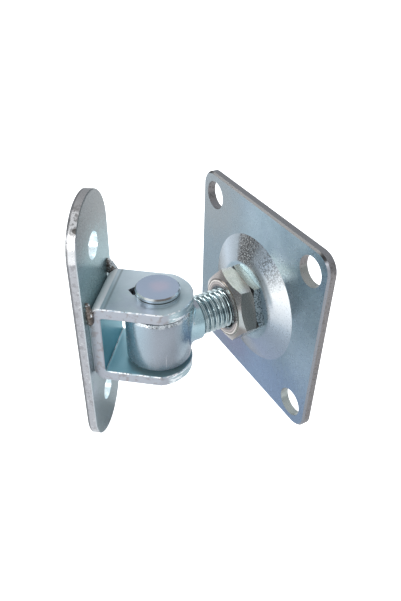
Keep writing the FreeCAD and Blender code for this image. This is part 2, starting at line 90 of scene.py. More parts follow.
def new_material(name):
    material = bpy.data.materials.new(name)
    material.use_nodes = True
    material.node_tree.nodes.clear()
    return material


def add_node(tree, kind, **settings):
    node = tree.nodes.new(kind)
    for key, value in settings.items():
        setattr(node, key, value)
    return node


def feed(tree, source, socket):
    """Set a socket from another socket or from a plain value."""
    if isinstance(source, bpy.types.NodeSocket):
        tree.links.new(source, socket)
    else:
        socket.default_value = source


def maths(tree, kind, *terms):
    """A maths node on sockets or plain numbers."""
    node = add_node(tree, "ShaderNodeMath", operation=kind)
    for socket, term in zip(node.inputs, terms):
        feed(tree, term, socket)
    return node.outputs[0]


def vector_maths(tree, kind, first, second=None):
    node = add_node(tree, "ShaderNodeVectorMath", operation=kind)
    feed(tree, first, node.inputs[0])
    if second is not None:
        feed(tree, second, node.inputs[1])
    return node.outputs["Value" if kind in ("DOT_PRODUCT", "LENGTH") else "Vector"]


def spread(tree, value, low, high, bottom=0.0, top=1.0, way="LINEAR"):
    """Bottom where a value is at low, top where it is at high, and a ramp between them."""
    node = add_node(tree, "ShaderNodeMapRange", interpolation_type=way)
    for key, number in (("Value", value), ("From Min", low), ("From Max", high), ("To Min", bottom),
                        ("To Max", top)):
        feed(tree, number, node.inputs[key])
    return node.outputs[0]


def noise(tree, vector, scale, detail, roughness=0.5, distortion=0.0):
    node = add_node(tree, "ShaderNodeTexNoise")
    for key, value in (("Vector", vector), ("Scale", scale), ("Detail", detail), ("Roughness", roughness),
                       ("Distortion", distortion)):
        feed(tree, value, node.inputs[key])
    return node.outputs["Fac"]


def sweep_material():
    """White paper: white to the camera, greyer in the metal, and it still takes the hinge's shadow."""
    material = new_material("white_sweep")
    tree = material.node_tree
    paper = add_node(tree, "ShaderNodeBsdfDiffuse")
    paper.inputs["Color"].default_value = (0.86, 0.87, 0.88, 1)
    lit = add_node(tree, "ShaderNodeEmission")
    lit.inputs["Color"].default_value = (1, 1, 1, 1)
    seen = add_node(tree, "ShaderNodeLightPath").outputs
    mirrored = maths(tree, "MULTIPLY", seen["Is Glossy Ray"], 0.2)
    feed(tree, maths(tree, "MAXIMUM", seen["Is Camera Ray"], mirrored), lit.inputs["Strength"])
    total = add_node(tree, "ShaderNodeAddShader")
    feed(tree, paper.outputs[0], total.inputs[0])
    feed(tree, lit.outputs[0], total.inputs[1])
    out = add_node(tree, "ShaderNodeOutputMaterial")
    feed(tree, total.outputs[0], out.inputs["Surface"])
    return material


def sweep():
    """A round sheet of paper just under the hinge."""
    mesh = bpy.data.meshes.new("floor_sweep")
    count, reach, low = 64, 4.0, cad_box[0][2] - 0.0005
    ring = [(reach * math.cos(2 * math.pi * i / count), reach * math.sin(2 * math.pi * i / count), low)
            for i in range(count)]
    mesh.from_pydata(ring, [], [list(range(count))])
    mesh.materials.append(sweep_material())
    floor = bpy.data.objects.new("floor_sweep", mesh)
    bpy.context.scene.collection.objects.link(floor)


sweep()


def tent():
    """World light: bright overhead, greyer towards the horizon."""
    world = bpy.data.worlds.new("soft_tent")
    bpy.context.scene.world = world
    world.use_nodes = True
    tree = world.node_tree
    tree.nodes.clear()
    where = add_node(tree, "ShaderNodeTexCoord")
    split = add_node(tree, "ShaderNodeSeparateXYZ")
    feed(tree, where.outputs["Generated"], split.inputs[0])
    ramp = add_node(tree, "ShaderNodeValToRGB")
    stops = ramp.color_ramp.elements
    stops[0].position, stops[0].color = 0.0, (0.56, 0.61, 0.65, 1)
    stops[1].position, stops[1].color = 1.0, (0.95, 0.97, 1.0, 1)
    middle = stops.new(0.45)
    middle.color = (0.76, 0.80, 0.84, 1)
    feed(tree, split.outputs["Z"], ramp.inputs[0])
    back = add_node(tree, "ShaderNodeBackground")
    back.inputs["Strength"].default_value = 0.8
    feed(tree, ramp.outputs[0], back.inputs["Color"])
    out = add_node(tree, "ShaderNodeOutputWorld")
    feed(tree, back.outputs[0], out.inputs["Surface"])


tent()


def soft_box(name, place, aim, size, power):
    data = bpy.data.lights.new(name, "AREA")
    data.shape = "RECTANGLE"
    data.size, data.size_y = size
    data.energy = power
    lamp = bpy.data.objects.new(name, data)
    place = Vector(place)
    turn = (Vector(aim) - place).to_track_quat("-Z", "Y")
    lamp.matrix_world = Matrix.Translation(place) @ turn.to_matrix().to_4x4()
    bpy.context.scene.collection.objects.link(lamp)


soft_box("key_box", place=(0.45, -0.55, 0.55), aim=(0.04, 0, 0), size=(0.5, 0.4), power=6.0)
soft_box("side_box", place=(0.75, 0.25, 0.30), aim=(0.04, 0, 0), size=(0.35, 0.35), power=3.0)

# Post plate: a square pressed from 4 mm sheet steel, with a shallow dome and four holes for the post's
# screws. It is zinc plated and passivated a faint blue, with grit on the dome's upper slope. The other
# pieces are plated too, so the shared plating and its masks are built here.


def shader_group(name, inputs, outputs):
    """A node group: its tree, its inputs, its outputs and the coordinates on the piece."""
    tree = bpy.data.node_groups.new(name, "ShaderNodeTree")
    for key, value in inputs.items():
        kind = "Float" if isinstance(value, float) else {3: "Vector", 4: "Color"}[len(value)]
        socket = tree.interface.new_socket(name=key, in_out="INPUT", socket_type="NodeSocket" + kind)
        socket.default_value = value
    for key, kind in outputs.items():
        tree.interface.new_socket(name=key, in_out="OUTPUT", socket_type="NodeSocket" + kind)
    given = add_node(tree, "NodeGroupInput").outputs
    out = add_node(tree, "NodeGroupOutput").inputs
    where = add_node(tree, "ShaderNodeTexCoord").outputs
    return tree, given, out, where


def zinc_group():
    """The plating itself: its colour, its roughness and the height of its fine relief."""
    tree, given, out, where = shader_group("zinc_plating", {
        "Pale": (0.55, 0.62, 0.66, 1), "Deep": (0.30, 0.40, 0.45, 1), "Tint": (0.42, 0.40, 0.60, 1),
        "Tint Amount": 0.3, "Cloud Scale": 90.0, "Grain Scale": 1400.0, "Grain Amount": 0.08,
        "Base Roughness": 0.28}, {"Color": "Color", "Roughness": "Float", "Height": "Float"})

    def mixed(factor, below, above, way="MIX"):
        node = add_node(tree, "ShaderNodeMix", data_type="RGBA", blend_type=way)
        for slot, source in ((0, factor), (6, below), (7, above)):
            feed(tree, source, node.inputs[slot])
        return node.outputs[2]

    cloud = noise(tree, where["Object"], given["Cloud Scale"], 5.0, 0.6)
    tone = mixed(spread(tree, cloud, 0.36, 0.64), given["Deep"], given["Pale"])
    stain = spread(tree, noise(tree, where["Object"], 55.0, 3.0, 0.5, 0.8), 0.48, 0.72)
    tinted = mixed(maths(tree, "MULTIPLY", stain, given["Tint Amount"]), tone, given["Tint"])
    grain = noise(tree, where["Object"], given["Grain Scale"], 3.0, 0.65)
    grey = add_node(tree, "ShaderNodeCombineColor")
    for socket in grey.inputs:
        feed(tree, spread(tree, grain, 0.3, 0.7, 0.55, 1.45), socket)
    feed(tree, mixed(given["Grain Amount"], tinted, grey.outputs[0], "MULTIPLY"), out["Color"])
    wander = spread(tree, grain, 0.0, 1.0, -0.08, 0.10)
    feed(tree, maths(tree, "ADD", wander, given["Base Roughness"]), out["Roughness"])
    feed(tree, grain, out["Height"])
    return tree


def patch_group():
    """A patch with a ragged rim: 1 inside an ellipsoid on the piece and 0 outside it."""
    tree, given, out, where = shader_group("ragged_patch", {
        "Centre": (0, 0, 0), "Reach": (1, 1, 1), "Ragged": 0.5, "Grain Scale": 500.0, "Softness": 0.4},
        {"Mask": "Float"})
    away = vector_maths(tree, "SUBTRACT", where["Object"], given["Centre"])
    far = vector_maths(tree, "LENGTH", vector_maths(tree, "DIVIDE", away, given["Reach"]))
    grain = noise(tree, where["Object"], given["Grain Scale"], 4.0, 0.7)
    rough = maths(tree, "MULTIPLY", maths(tree, "SUBTRACT", grain, 0.5), given["Ragged"])
    total = maths(tree, "MULTIPLY_ADD", rough, 4.0, far)
    low = maths(tree, "SUBTRACT", 1.0, given["Softness"])
    high = maths(tree, "ADD", 1.0, given["Softness"])
    feed(tree, spread(tree, total, low, high, 1.0, 0.0, "SMOOTHSTEP"), out["Mask"])
    return tree


def along_group(name, source, low, high):
    """0 up to one value along a direction and 1 from another on, for the surface's normal or its place."""
    tree, given, out, where = shader_group(name, {"Direction": (1, 0, 0), "Low": low, "High": high},
                                           {"Mask": "Float"})
    share = vector_maths(tree, "DOT_PRODUCT", where[source], given["Direction"])
    feed(tree, spread(tree, share, given["Low"], given["High"], way="SMOOTHSTEP"), out["Mask"])
    return tree


def angle_group():
    """The angle about the piece's X or Z axis through a centre, from 0 at -180 degrees to 1 at 180."""
    tree, given, out, where = shader_group("angle_about", {
        "Centre": (0, 0, 0), "Wobble": 0.02, "Grain Scale": 600.0}, {"About X": "Float", "About Z": "Float"})
    split = add_node(tree, "ShaderNodeSeparateXYZ")
    feed(tree, vector_maths(tree, "SUBTRACT", where["Object"], given["Centre"]), split.inputs[0])
    grain = noise(tree, where["Object"], given["Grain Scale"], 3.0)
    sway = maths(tree, "MULTIPLY", maths(tree, "SUBTRACT", grain, 0.5), given["Wobble"])
    for name, first, second in (("About X", "Z", "Y"), ("About Z", "Y", "X")):
        turn = maths(tree, "ARCTAN2", split.outputs[first], split.outputs[second])
        share = maths(tree, "MULTIPLY_ADD", turn, 0.5 / math.pi, 0.5)
        feed(tree, maths(tree, "ADD", share, sway), out[name])
    return tree


def speckle_group():
    """Scattered specks: 1 in a speck and 0 between them."""
    tree, given, out, where = shader_group("specks", {
        "Scale": 800.0, "Level": 0.55, "Softness": 0.05, "Stretch": (1, 1, 1)}, {"Mask": "Float"})
    drawn = vector_maths(tree, "MULTIPLY", where["Object"], given["Stretch"])
    grain = noise(tree, drawn, given["Scale"], 3.0, 0.6)
    high = maths(tree, "ADD", given["Level"], given["Softness"])
    feed(tree, spread(tree, grain, given["Level"], high, way="SMOOTHSTEP"), out["Mask"])
    return tree


ZINC = zinc_group()
PATCH = patch_group()
FACING = along_group("facing_side", "Normal", 0.6, 0.9)
PLACE = along_group("place_along", "Object", 0.0, 0.001)
ANGLE = angle_group()
SPECKS = speckle_group()
MM = 0.001


def use(material, group, **values):
    """A group in a material, with its named inputs set."""
    node = add_node(material.node_tree, "ShaderNodeGroup", node_tree=group)
    for key, value in values.items():
        node.inputs[key.replace("_", " ").title()].default_value = value
    return node.outputs


def plated(name, pale, deep, metallic=0.8, relief=0.00002, **values):
    """One piece's own zinc: the shared plating with this piece's colours and values."""
    material = new_material(name)
    tree = material.node_tree
    plating = use(material, ZINC, pale=(*pale, 1), deep=(*deep, 1), **values)
    bump = add_node(tree, "ShaderNodeBump")
    bump.inputs["Strength"].default_value = 0.6
    bump.inputs["Distance"].default_value = relief
    feed(tree, plating["Height"], bump.inputs["Height"])
    metal = add_node(tree, "ShaderNodeBsdfPrincipled", name="metal")
    metal.inputs["Metallic"].default_value = metallic
    feed(tree, plating["Color"], metal.inputs["Base Color"])
    feed(tree, plating["Roughness"], metal.inputs["Roughness"])
    feed(tree, bump.outputs["Normal"], metal.inputs["Normal"])
    out = add_node(tree, "ShaderNodeOutputMaterial")
    feed(tree, metal.outputs[0], out.inputs["Surface"])
    return material


def patch(material, centre, reach, ragged=0.3, grain_scale=500.0, softness=0.4):
    """A ragged patch, in millimetres."""
    return use(material, PATCH, centre=[number * MM for number in centre],
               reach=[number * MM for number in reach], ragged=ragged, grain_scale=grain_scale,
               softness=softness)["Mask"]


def facing(material, direction, low, high):
    """1 where the surface faces a direction: low and high are cosines."""
    return use(material, FACING, direction=Vector(direction).normalized(), low=low, high=high)["Mask"]


def both(material, first, second):
    """1 where two masks are 1."""
    return maths(material.node_tree, "MULTIPLY", first, second)


def line(material, direction, middle=0.707, half=0.09):
    """The narrow faces at about 45 degrees to a direction, as a broken edge has."""
    return both(material, facing(material, direction, middle - half - 0.03, middle - half),
                facing(material, direction, middle + half + 0.03, middle + half))


def beyond(material, direction, low, high, start=(0, 0, 0)):
    """1 past a place along a direction, in millimetres from start."""
    direction = Vector(direction).normalized()
    shift = direction.dot(Vector(start))
    return use(material, PLACE, direction=direction, low=(low + shift) * MM, high=(high + shift) * MM)["Mask"]


def specks(material, scale=800.0, level=0.55, softness=0.05, stretch=(1, 1, 1)):
    """Fine specks: a higher level leaves fewer of them."""
    return use(material, SPECKS, scale=scale, level=level, softness=softness, stretch=stretch)["Mask"]


def around(material, about, stops, centre=(0, 0, 0), wobble=0.02):
    """Colours by the angle about an axis: stops are degrees and colours."""
    tree = material.node_tree
    angle = use(material, ANGLE, centre=[number * MM for number in centre], wobble=wobble)["About " + about]
    ramp = add_node(tree, "ShaderNodeValToRGB")
    bands = ramp.color_ramp.elements
    bands.remove(bands[1])
    for number, (degrees, colour) in enumerate(sorted(stops)):
        band = bands.new((degrees + 180) / 360) if number else bands[0]
        band.position = (degrees + 180) / 360
        band.color = (*colour, 1)
    feed(tree, angle, ramp.inputs[0])
    return ramp.outputs["Color"]


def arc(material, about, stops, centre=(0, 0, 0), wobble=0.02):
    """A mask by the angle about an axis: stops are degrees and shares, and the rest is 0."""
    greys = [(degrees, (share,) * 3) for degrees, share in ((-180, 0), *stops, (180, 0))]
    return around(material, about, greys, centre, wobble)


def layer(material, colour, masks, amount=1.0, on="Base Color"):
    """Another colour, or value, where all the masks are 1."""
    tree = material.node_tree
    target = tree.nodes["metal"].inputs[on]
    share = masks[0]
    for mask in masks[1:]:
        share = both(material, share, mask)
    is_colour = on == "Base Color"
    mix = add_node(tree, "ShaderNodeMix", data_type="RGBA" if is_colour else "FLOAT")
    below, above, result = (6, 7, 2) if is_colour else (2, 3, 0)
    before = target.links[0].from_socket if target.links else target.default_value
    feed(tree, maths(tree, "MULTIPLY", share, amount), mix.inputs[0])
    feed(tree, before, mix.inputs[below])
    feed(tree, (*colour, 1) if isinstance(colour, tuple) else colour, mix.inputs[above])
    feed(tree, mix.outputs[result], target)


def finish(node, material):
    """Dress a solid of the frame."""
    mesh = nodes[node].data
    mesh.materials.clear()
    mesh.materials.append(material)


FRONT, REAR, SIDE, UP, DOWN = (1, 0, 0), (-1, 0, 0), (0, 1, 0), (0, 0, 1), (0, 0, -1)

plate = plated("plate_zinc", (0.255, 0.335, 0.385), (0.180, 0.250, 0.300), cloud_scale=60,
               tint=(0.24, 0.29, 0.40, 1))
flat_front = facing(plate, FRONT, 0.98, 0.99)
for colour, centre, reach, ragged, grain_scale, softness, amount in (
        ((0.150, 0.205, 0.245), (4, -36, -4), (9, 26, 60), 0.15, 200, 0.6, 0.9),
        ((0.200, 0.228, 0.245), (4, -42, 38), (9, 26, 22), 0.2, 300, 0.6, 0.9),
        ((0.285, 0.380, 0.480), (4, 42, -16), (9, 12, 22), 0.2, 300, 0.7, 0.6),
        ((0.145, 0.215, 0.345), (4, 18, -40), (9, 40, 20), 0.25, 300, 0.7, 0.8),
        ((0.165, 0.175, 0.270), (4, -18, -32), (9, 17, 15), 0.3, 300, 0.7, 0.75)):
    layer(plate, colour, [flat_front, patch(plate, centre, reach, ragged, grain_scale, softness)], amount)

# The dome's slope is painted with reflections: blue below, painted shade above, pale on either side of the
# dark and a painted glint at the upper right.
slope = both(plate, facing(plate, FRONT, 0.985, 0.965), facing(plate, FRONT, 0.3, 0.5))
SHADE = (0.13, 0.15, 0.16)
REFLECTED_BLUE = (0.17, 0.22, 0.32)
PALE = (0.34, 0.40, 0.46)
PAINTED_GLINT = (0.90, 0.91, 0.91)
dome_painted_reflections = around(plate, "X", ((-180, SHADE), (-100, SHADE), (-60, REFLECTED_BLUE), (0, PALE), (38, PAINTED_GLINT),
                                   (66, PALE), (100, SHADE), (145, PALE), (180, SHADE)))
layer(plate, dome_painted_reflections, [slope])
# Less metal at the painted glint, so that it shows bright.
layer(plate, 0.2, [slope, facing(plate, (0, 1, 0.8), 0.22, 0.31)], on="Metallic")
# Painted shade on the dome's top beside the nut, above it and at its upper right.
nut_side_painted_shade = around(plate, "X", ((-180, PALE), (20, PALE), (58, SHADE), (180, SHADE)))
near_nut = arc(plate, "X", ((14, 0), (30, 1), (84, 1), (92, 0)))
layer(plate, nut_side_painted_shade, [slope, beyond(plate, FRONT, 6.7, 7.4), near_nut], 0.9)

gritty = arc(plate, "X", ((78, 0), (92, 0.9), (98, 1), (112, 1), (118, 0)))
gritty_ring = arc(plate, "X", ((36, 0), (50, 0.45), (70, 0.8), (84, 0)))
layer(plate, (0.04, 0.04, 0.04), [slope, gritty_ring, beyond(plate, REAR, -7.2, -6.6),
                                  specks(plate, 1500, 0.46, 0.06)], 0.95)
layer(plate, (0.04, 0.04, 0.04), [slope, gritty, specks(plate, 1500, 0.42, 0.06)], 0.95)
shaded = arc(plate, "X", ((76, 0), (100, 1), (112, 1), (118, 0)))
layer(plate, (0.045, 0.045, 0.045), [slope, shaded], 0.5)
layer(plate, (0.55, 0.57, 0.58), [slope, gritty, specks(plate, 1700, 0.56, 0.05, (1, 1, 1.1))], 0.7)

rim = both(plate, facing(plate, FRONT, 0.2, 0.05), facing(plate, REAR, 0.2, 0.05))
layer(plate, (0.245, 0.230, 0.230), [rim])
layer(plate, (0.10, 0.09, 0.09), [rim, facing(plate, SIDE, 0.6, 0.8), specks(plate, 900, 0.54, 0.08)], 0.6)
layer(plate, (0.220, 0.222, 0.235), [rim, facing(plate, UP, 0.6, 0.9)], 0.9)
layer(plate, (0.50, 0.55, 0.53), [rim, patch(plate, (2, 36, -38), (9, 8, 8), 0.3, 500, 0.3)], 0.8)
layer(plate, (0.35, 0.36, 0.34), [rim, patch(plate, (2, 36, 32), (9, 8, 5), 0.3, 500, 0.3)], 0.8)
front_line = line(plate, FRONT)
layer(plate, (0.23, 0.24, 0.265), [front_line])
# Painted shade: the front chamfer is near black along the top edge.
layer(plate, (0.012, 0.012, 0.013), [front_line, facing(plate, UP, 0.5, 0.6)])
finish("post_plate", plate)

# Adjusting nut: a thin turned hexagon before the dome. Its neck goes through the dome and is riveted over
# the washer behind, so it turns in place. It is zinc plated, a little duller than the sheet.

NUT_SIDE = (0, 0.934, 0.358)
captive = plated("captive_nut_zinc", (0.62, 0.68, 0.66), (0.45, 0.51, 0.49), cloud_scale=160)
# Painted reflections on the nut's flats: a yellower grey on top and a darker, speckled side.
layer(captive, (0.49, 0.51, 0.45), [facing(captive, (0, 0.2, 1), 0.8, 0.9)], 0.9)
captive_side = facing(captive, NUT_SIDE, 0.8, 0.95)
layer(captive, (0.34, 0.40, 0.42), [captive_side])
layer(captive, (0.04, 0.05, 0.05), [captive_side, specks(captive, 1500, 0.52, 0.05)], 0.9)
# Painted shade: the front face, between the two nuts, is near black.
layer(captive, (0.02, 0.022, 0.024), [facing(captive, FRONT, 0.7, 0.9)])
finish("adjusting_nut", captive)

# Retaining washer: a plain zinc-plated ring blanked from sheet. It lies behind the dome, riveted on the
# adjusting nut's neck, and keeps that nut captive.

finish("retaining_washer", plated("washer_zinc", (0.38, 0.42, 0.45), (0.26, 0.30, 0.34), cloud_scale=120))

# Lock nut: a turned hexagon with rounded corners, a raised face and a bevelled mouth, screwed against the
# adjusting nut. Its thread is cut right through.

lock = plated("lock_nut_zinc", (0.59, 0.55, 0.47), (0.46, 0.44, 0.37), cloud_scale=150, base_roughness=0.2)
lock_face = facing(lock, FRONT, 0.9, 0.97)
layer(lock, (0.125, 0.108, 0.103), [lock_face], 0.95)
layer(lock, (0.40, 0.43, 0.41), [lock_face, patch(lock, (16, 13, -2), (9, 5, 9), 0.1, 300, 0.5)], 0.8)
face_bevel = line(lock, FRONT, 0.80, 0.12)
layer(lock, (0.23, 0.212, 0.208), [face_bevel], 0.9)
# A painted reflection, paler, on the bevel's front right.
layer(lock, (0.42, 0.46, 0.46), [face_bevel, facing(lock, (0.8, 0.6, 0.1), 0.97, 0.99)], 0.8)
# Painted shade and highlight round the raised face: a dark line at its step and a painted highlight on its
# rounded edge, then darker and paler bands in to the mouth.
for reach, colour in ((13.15, (0.03, 0.03, 0.03)), (12.85, (0.85, 0.79, 0.74)), (12.35, (0.17, 0.155, 0.15)),
                      (11.8, (0.42, 0.37, 0.36)), (11.2, (0.14, 0.13, 0.13))):
    layer(lock, colour, [lock_face, patch(lock, (16, 0, 0), (30, reach, reach), 0.02, 300, 0.02)], 0.9)
# A painted dark reflection on the side flat.
layer(lock, (0.235, 0.235, 0.215), [facing(lock, NUT_SIDE, 0.8, 0.95)], 0.97)
# Painted shade: the rear face, against the adjusting nut, is near black.
layer(lock, (0.02, 0.025, 0.027), [facing(lock, REAR, 0.7, 0.9)])
# A painted highlight on the top of the rear bevel.
layer(lock, (0.62, 0.64, 0.56), [line(lock, REAR, 0.5, 0.15), facing(lock, (0, 0.2, 1), 0.5, 0.7)], 0.9)
# Painted shade in the bevelled mouth round the bolt.
layer(lock, (0.03, 0.05, 0.055), [patch(lock, (19.9, 0, 0), (2, 10.3, 10.3), 0, 100, 0.03)])
finish("lock_nut", lock)


def inputs_for(tree, table):
    """The named inputs of a tree that makes a mesh."""
    for name, kind, value in table:
        socket = tree.interface.new_socket(name=name, in_out="INPUT", socket_type=kind)
        if value is not None:
            socket.default_value = value
    tree.interface.new_socket(name="Mesh", in_out="OUTPUT", socket_type="NodeSocketGeometry")


def thread_tree():
    """A screw thread: a grid wrapped round X whose lines follow the helix, so that its crests are true."""
    tree = bpy.data.node_groups.new("screw_thread", "GeometryNodeTree")
    inputs_for(tree, (("Start", "NodeSocketFloat", -0.012), ("End", "NodeSocketFloat", 0.0349),
                      ("Pitch", "NodeSocketFloat", 0.0025), ("Crest Radius", "NodeSocketFloat", 0.009),
                      ("Root Radius", "NodeSocketFloat", 0.0075), ("Start Radius", "NodeSocketFloat", 0.0074),
                      ("End Radius", "NodeSocketFloat", 0.009), ("Shift", "NodeSocketFloat", 0.0),
                      ("Steps", "NodeSocketInt", 12), ("Turns", "NodeSocketInt", 20),
                      ("Sides", "NodeSocketInt", 72),
                      ("Inside", "NodeSocketBool", False), ("Finish", "NodeSocketMaterial", None)))
    given = add_node(tree, "NodeGroupInput").outputs
    rows = maths(tree, "MULTIPLY_ADD", given["Steps"], given["Turns"], 1.0)
    grid = add_node(tree, "GeometryNodeMeshGrid")
    grid.inputs["Size X"].default_value = 1.0
    grid.inputs["Size Y"].default_value = 1.0
    feed(tree, rows, grid.inputs["Vertices X"])
    columns = maths(tree, "ADD", given["Sides"], 1.0)
    feed(tree, columns, grid.inputs["Vertices Y"])
    place = add_node(tree, "GeometryNodeInputPosition")
    split = add_node(tree, "ShaderNodeSeparateXYZ")
    feed(tree, place.outputs[0], split.inputs[0])
    along = maths(tree, "MULTIPLY", maths(tree, "ADD", split.outputs["X"], 0.5), given["Turns"])
    lap = maths(tree, "ADD", split.outputs["Y"], 0.5)
    lead = maths(tree, "SUBTRACT", maths(tree, "ADD", along, lap), 1.0)
    run = maths(tree, "MULTIPLY_ADD", lead, given["Pitch"], given["Start"])
    x = maths(tree, "MINIMUM", maths(tree, "MAXIMUM", run, given["Start"]), given["End"])
    phase = maths(tree, "FRACT", maths(tree, "ADD", maths(tree, "ADD", along, given["Shift"]), 0.0001))
    height = maths(tree, "MULTIPLY", maths(tree, "ABSOLUTE", maths(tree, "SUBTRACT", phase, 0.5)), 2.0)
    flank = spread(tree, height, 0.18, 0.86, given["Root Radius"], given["Crest Radius"], "SMOOTHSTEP")
    rear = maths(tree, "ADD", given["Start Radius"], maths(tree, "SUBTRACT", x, given["Start"]))
    front = maths(tree, "SUBTRACT", given["End Radius"], maths(tree, "SUBTRACT", given["End"], x))
    radius = maths(tree, "MAXIMUM", maths(tree, "MINIMUM", flank, rear), front)
    angle = maths(tree, "MULTIPLY", lap, 2 * math.pi)
    wrapped = add_node(tree, "ShaderNodeCombineXYZ")
    feed(tree, x, wrapped.inputs["X"])
    feed(tree, maths(tree, "MULTIPLY", radius, maths(tree, "COSINE", angle)), wrapped.inputs["Y"])
    feed(tree, maths(tree, "MULTIPLY", radius, maths(tree, "SINE", angle)), wrapped.inputs["Z"])
    bent = add_node(tree, "GeometryNodeSetPosition")
    feed(tree, grid.outputs["Mesh"], bent.inputs["Geometry"])
    feed(tree, wrapped.outputs[0], bent.inputs["Position"])
    turned = add_node(tree, "GeometryNodeFlipFaces")
    feed(tree, bent.outputs[0], turned.inputs["Mesh"])
    disc = add_node(tree, "GeometryNodeMeshCircle", fill_type="NGON")
    feed(tree, given["Sides"], disc.inputs["Vertices"])
    feed(tree, given["Start Radius"], disc.inputs["Radius"])
    flat = add_node(tree, "GeometryNodeInputPosition")
    parts = add_node(tree, "ShaderNodeSeparateXYZ")
    feed(tree, flat.outputs[0], parts.inputs[0])
    stood = add_node(tree, "ShaderNodeCombineXYZ")
    feed(tree, given["Start"], stood.inputs["X"])
    feed(tree, parts.outputs["X"], stood.inputs["Y"])
    feed(tree, parts.outputs["Y"], stood.inputs["Z"])
    end = add_node(tree, "GeometryNodeSetPosition")
    feed(tree, disc.outputs["Mesh"], end.inputs["Geometry"])
    feed(tree, stood.outputs[0], end.inputs["Position"])
    outward = add_node(tree, "GeometryNodeFlipFaces")
    feed(tree, end.outputs[0], outward.inputs["Mesh"])
    joined = add_node(tree, "GeometryNodeJoinGeometry")
    feed(tree, turned.outputs[0], joined.inputs[0])
    feed(tree, outward.outputs[0], joined.inputs[0])
    which = add_node(tree, "GeometryNodeSwitch", input_type="GEOMETRY")
    feed(tree, given["Inside"], which.inputs["Switch"])
    feed(tree, joined.outputs[0], which.inputs["False"])
    feed(tree, bent.outputs[0], which.inputs["True"])
    merged = add_node(tree, "GeometryNodeMergeByDistance")
    merged.inputs["Distance"].default_value = 2e-6
    feed(tree, which.outputs[0], merged.inputs["Geometry"])
    finish_tree(tree, merged.outputs[0], given["Finish"])
    return tree


def finish_tree(tree, mesh, material):
    """The end of every tree: smooth faces, real instances and the material."""
    smooth = add_node(tree, "GeometryNodeSetShadeSmooth")
    feed(tree, mesh, smooth.inputs["Geometry"])
    real = add_node(tree, "GeometryNodeRealizeInstances")
    feed(tree, smooth.outputs[0], real.inputs[0])
    dressed = add_node(tree, "GeometryNodeSetMaterial")
    feed(tree, real.outputs[0], dressed.inputs["Geometry"])
    feed(tree, material, dressed.inputs["Material"])
    out = add_node(tree, "NodeGroupOutput")
    feed(tree, dressed.outputs[0], out.inputs[0])


def grow(name, tree, material, **values):
    """A plain mesh object from a Geometry Nodes tree and its named inputs."""
    seed = bpy.data.objects.new(name + "_seed", bpy.data.meshes.new(name + "_seed"))
    bpy.context.scene.collection.objects.link(seed)
    maker = seed.modifiers.new("maker", "NODES")
    maker.node_group = tree
    known = {item.name: item.identifier for item in tree.interface.items_tree if item.in_out == "INPUT"}
    values["finish"] = material
    for key, value in values.items():
        maker[known[key.replace("_", " ").title()]] = value
    bpy.context.view_layer.update()
    graph = bpy.context.evaluated_depsgraph_get()
    mesh = bpy.data.meshes.new_from_object(seed.evaluated_get(graph))
    mesh.name = name
    bpy.data.objects.remove(seed)
    piece = bpy.data.objects.new(name, mesh)
    bpy.context.scene.collection.objects.link(piece)
    return piece


CREST_RADIUS = 0.009
THREAD_END = 0.0349
THREAD = thread_tree()

# The lock nut's thread gets a darker zinc: painted shade inside the bore.
painted_shade_bore = plated("nut_bore_painted_shade", (0.16, 0.20, 0.21), (0.06, 0.09, 0.10), cloud_scale=260,
                   base_roughness=0.2)
nut_thread = grow("lock_nut_thread", THREAD, painted_shade_bore, start=0.0120, end=0.0202, crest_radius=0.00905,
                  root_radius=0.0077, start_radius=0.03, end_radius=0.01005, shift=0.44, turns=5, inside=True)
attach(nut_thread, "locknut")

# Eye bolt: one forging of a drum, a collar and a shank, with an M18 thread rolled on the shank and its
# end bevelled. The thread runs out against the collar.

DRUM = (52.1, 0, 0)
eye = plated("eye_zinc", (0.36, 0.41, 0.46), (0.32, 0.37, 0.42), cloud_scale=80, base_roughness=0.24,
             tint=(0.40, 0.40, 0.46, 1))
drum_wall = facing(eye, UP, 0.9, 0.8)
# The drum's wall is painted with the room's reflections round it: teal, dimmer teal and slate.
TEAL = (0.45, 0.62, 0.66)
DIM_TEAL = (0.33, 0.46, 0.53)
SLATE = (0.27, 0.30, 0.34)
drum_painted_reflections = around(eye, "Z", ((-180, TEAL), (0, DIM_TEAL), (60, SLATE), (90, SLATE), (130, DIM_TEAL),
                                 (160, TEAL), (180, TEAL)), DRUM, 0.01)
layer(eye, drum_painted_reflections, [drum_wall])
# A painted highlight: a thin light streak down the drum's wall.
layer(eye, (0.48, 0.50, 0.54), [patch(eye, (55.5, 13.8, -7), (0.22, 0.3, 3.4), 0.1, 300, 0.3)], 0.6)
# Painted shade: a dark line at the drum's foot, over the lower ear.
layer(eye, (0.02, 0.045, 0.06), [beyond(eye, FRONT, 38, 39), beyond(eye, DOWN, 11.7, 12.0)], 0.9)
# Painted shade on the drum's lower half, on the shank's side.
towards_shank = arc(eye, "Z", ((106, 0), (128, 1), (162, 1), (176, 0)), DRUM, 0.01)
layer(eye, (0.085, 0.145, 0.225), [beyond(eye, DOWN, 0, 9), drum_wall, towards_shank], 0.9)
# A painted reflection, light blue, on the drum's wall towards the shank.
layer(eye, (0.62, 0.78, 0.82), [patch(eye, (43.0, 10.9, 7), (5, 5, 5), 0.1, 300, 0.6)], 0.7)
